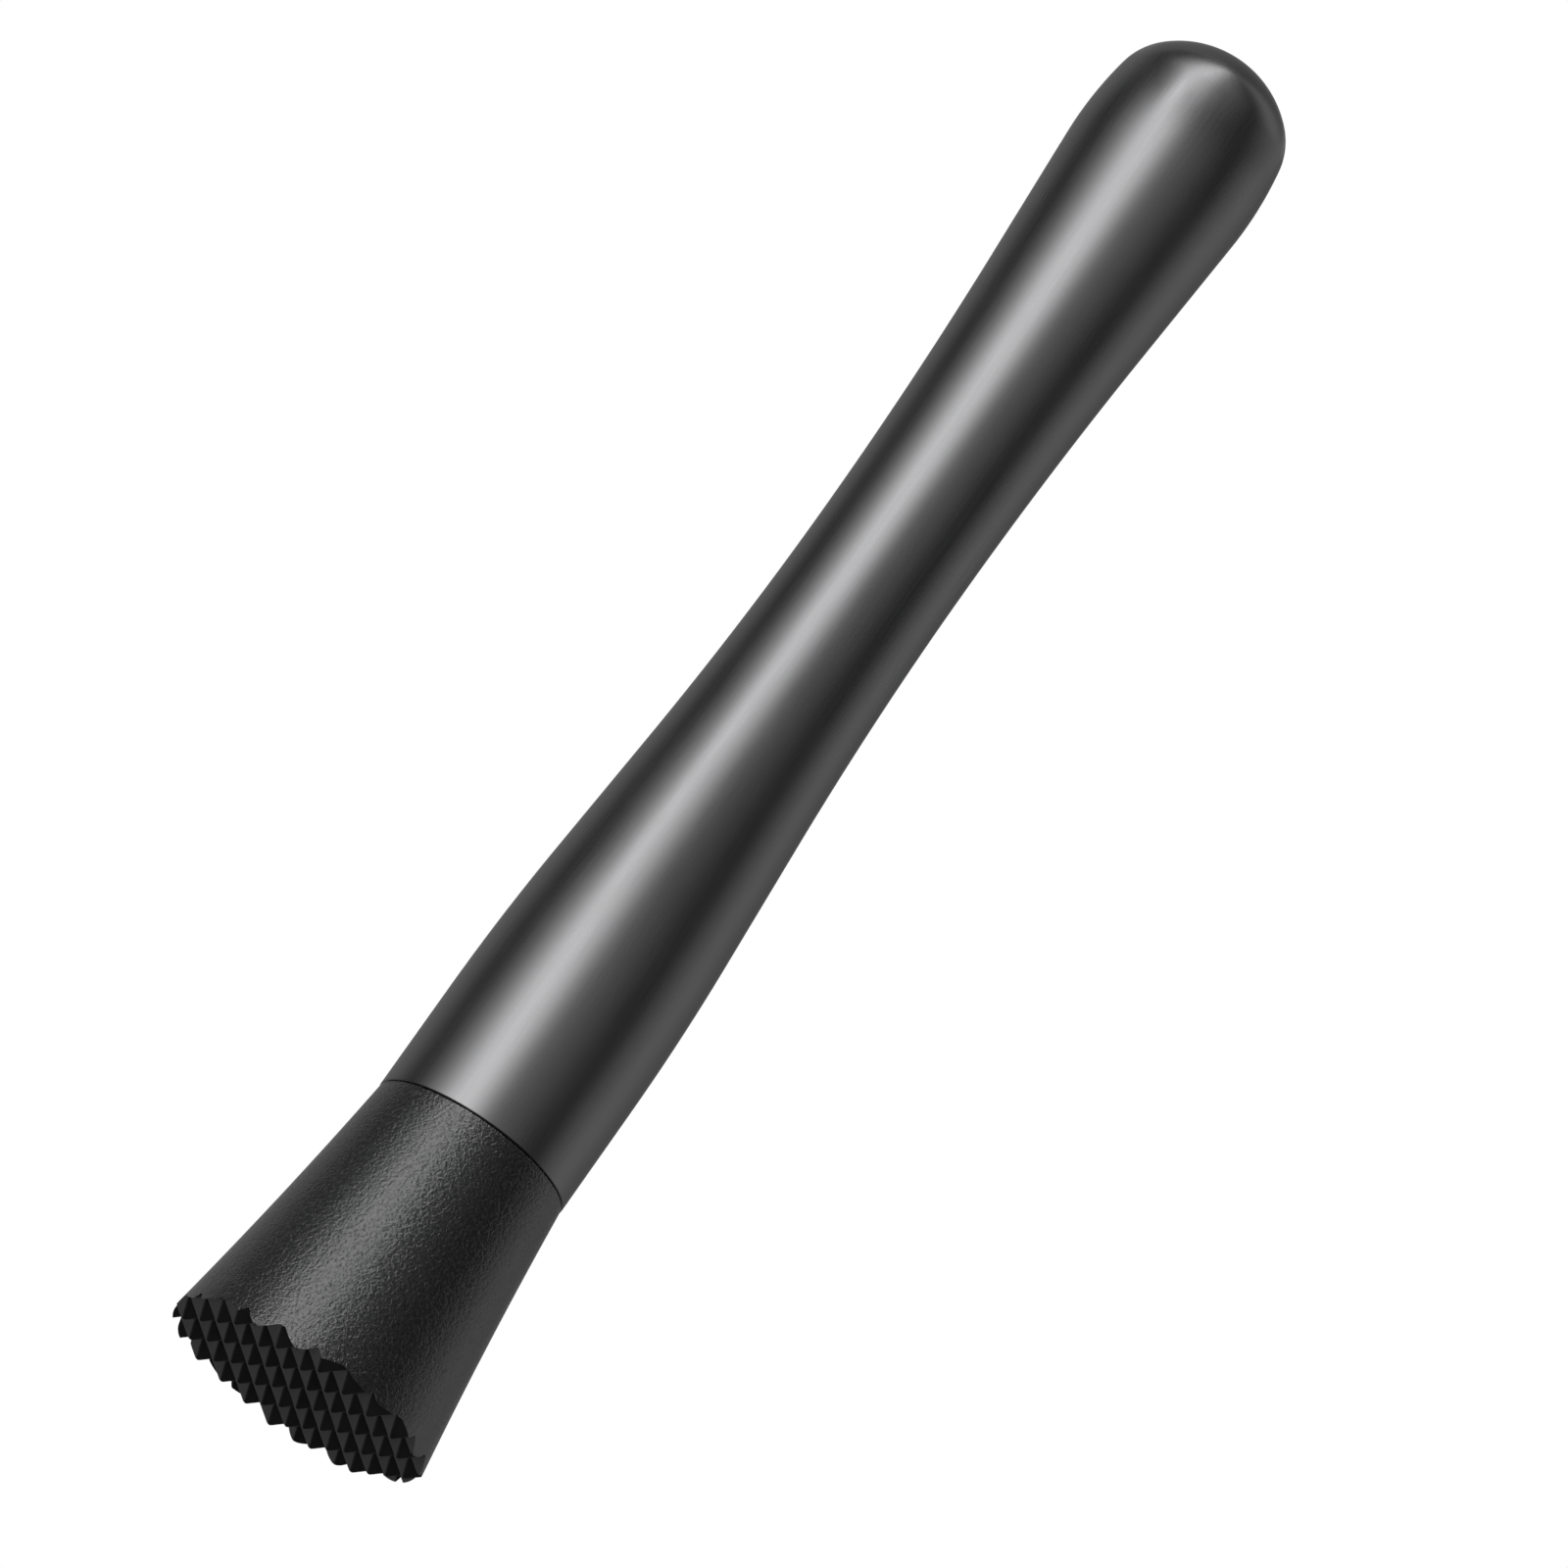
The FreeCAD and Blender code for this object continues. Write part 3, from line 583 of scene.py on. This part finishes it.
# The band of directions that the head reflects, between those of the handle and the dome, has a
# narrower key light, set after comparing renders with the photograph.
STUDIO_MIDDLE = ((-180, 0.35), (-147, 0.40), (-123, 0.45), (-106, 0.30), (-92, 0.18), (-80, 0.12),
                 (-68, 0.12), (-60, 0.20), (-53, 0.80), (-49, 4.00), (-43, 8.60), (-37, 4.20),
                 (-31, 0.60), (-22, 0.16), (-8, 0.10), (0, 0.10), (18, 0.08), (37, 0.06), (57, 0.08),
                 (80, 0.16), (92, 0.28), (106, 0.40), (123, 0.50), (147, 0.40), (180, 0.35))
STUDIO_PEAK = 10.0
# Upward parts of a direction over which the studio brightens from its floor's share, and over which it
# changes to its middle brightness and back.
STUDIO_LOW, STUDIO_FLOOR_SHARE = (-0.85, -0.25), 0.05
STUDIO_RISE, STUDIO_RETURN = (0.45, 0.49), (0.54, 0.62)
# The floor's radius, the corners of its outline, and the distances over which it fades out; in metres.
FLOOR_RADIUS, FLOOR_CORNERS = 8.0, 96
FLOOR_FADE = (0.6, 5.0)
CLIP_END = 50


def light_studio():
    """World light: white where the camera sees it, and banded like a studio in reflections."""
    world = bpy.data.worlds.new("studio")
    bpy.context.scene.world = world
    nodes = Nodes(world)
    background = nodes.tree.nodes["Background"]
    direction = nodes.add("ShaderNodeTexCoord").outputs["Generated"]
    facing = nodes.add("ShaderNodeVectorRotate", {"rotation_type": "Z_AXIS"}, Vector=direction,
                       Angle=math.radians(-CAMERA_AZIMUTH)).outputs[0]
    axes = nodes.add("ShaderNodeSeparateXYZ", Vector=facing).outputs
    angle = nodes.math("ARCTAN2", axes[0], nodes.math("MULTIPLY", axes[1], -1))
    share = nodes.math("ADD", nodes.math("MULTIPLY", angle, 1 / (2 * math.pi)), 0.5)

    def around(stops):
        """Share of the peak brightness in each direction round the axis."""
        return nodes.ramp(share, [(degrees / 360 + 0.5, level / STUDIO_PEAK) for degrees, level in stops])

    between = nodes.math("MULTIPLY", nodes.spread(axes[2], *STUDIO_RISE, 0, 1),
                         nodes.spread(axes[2], *STUDIO_RETURN, 1, 0))
    usual, middle = around(STUDIO), around(STUDIO_MIDDLE)
    bands = nodes.add("ShaderNodeMix", Factor=between, A=usual, B=middle).outputs[0]
    lift = nodes.spread(axes[2], *STUDIO_LOW, STUDIO_FLOOR_SHARE, 1)
    glow = nodes.math("MULTIPLY", nodes.math("MULTIPLY", bands, lift), STUDIO_PEAK)
    seen = nodes.add("ShaderNodeLightPath").outputs["Is Camera Ray"]
    strength = nodes.add("ShaderNodeMix", Factor=seen, A=glow, B=1.0).outputs[0]
    nodes.feed(background.inputs["Color"], (1, 1, 1, 1))
    nodes.feed(background.inputs["Strength"], strength)


def lay_floor():
    """Large pale floor under the teeth that fades out far away. From below it lets the view through."""
    material, nodes, shader, where = new_material("studio_floor")
    mottle = nodes.noise(where, 0.05, detail=3)
    colour = tinted(nodes, mottle, (0.93, 0.93, 0.93), (0.95, 0.95, 0.95))
    nodes.feed(shader.inputs["Base Color"], colour)
    shader.inputs["Roughness"].default_value = 0.7
    under = nodes.add("ShaderNodeNewGeometry").outputs["Backfacing"]
    away = nodes.add("ShaderNodeVectorMath", {"operation": "LENGTH"}, Vector=where).outputs["Value"]
    hidden = nodes.math("MAXIMUM", under, nodes.spread(away, *FLOOR_FADE, 0, 1))
    clear = nodes.add("ShaderNodeBsdfTransparent").outputs[0]
    mix = nodes.add("ShaderNodeMixShader", i0=hidden, i1=shader.outputs[0], i2=clear)
    nodes.feed(nodes.tree.nodes["Material Output"].inputs["Surface"], mix.outputs[0])
    bpy.ops.mesh.primitive_circle_add(vertices=FLOOR_CORNERS, radius=FLOOR_RADIUS, fill_type="NGON",
                                      location=(0, 0, 0))
    floor = bpy.context.object
    floor.name = "studio_floor"
    floor.data.materials.append(material)
    floor.visible_diffuse = False
    floor.visible_glossy = False
    floor.visible_transmission = False
    floor.visible_shadow = False


def place_camera():
    """Camera below the muddler's level, turned so that the tool leans across the picture."""
    azimuth, elevation = math.radians(CAMERA_AZIMUTH), math.radians(CAMERA_ELEVATION)
    roll = math.radians(CAMERA_ROLL)
    back = Vector((math.sin(azimuth) * math.cos(elevation), -math.cos(azimuth) * math.cos(elevation),
                   math.sin(elevation)))
    upright = (Vector((0, 0, 1)) - back * back.z).normalized()
    level = upright.cross(back)
    right = math.sin(roll) * upright + math.cos(roll) * level
    up = math.cos(roll) * upright - math.sin(roll) * level
    camera = bpy.data.objects.new("camera", bpy.data.cameras.new("camera"))
    camera.data.lens = LENS
    camera.data.sensor_width = SENSOR
    camera.data.clip_end = CLIP_END
    camera.matrix_world = Matrix((right, up, back)).transposed().to_4x4()
    camera.location = Vector((0, 0, AIM[2])) + AIM[0] * right + AIM[1] * up + CAMERA_DISTANCE * back
    bpy.context.scene.collection.objects.link(camera)
    bpy.context.scene.camera = camera


# --- build ----------------------------------------------------------------------------------------

steel = coated_steel()
tube = turned("handle_skin", tube_section(), steel)
cap = turned("end_cap_skin", cap_section(), steel)
head = make_head(moulded_nylon(), tooth_nylon())
for piece, node, slot in ((tube, "handle_tube", "coated_steel"), (cap, "end_cap", "coated_steel"),
                          (head, "muddling_head", "nylon")):
    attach(piece, "root")
    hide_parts(node)
repaint("weld_bead", weld_steel())
repaint("adhesive_bands", cured_adhesive())

light_studio()
lay_floor()
place_camera()
bpy.context.scene.view_settings.view_transform = "Standard"
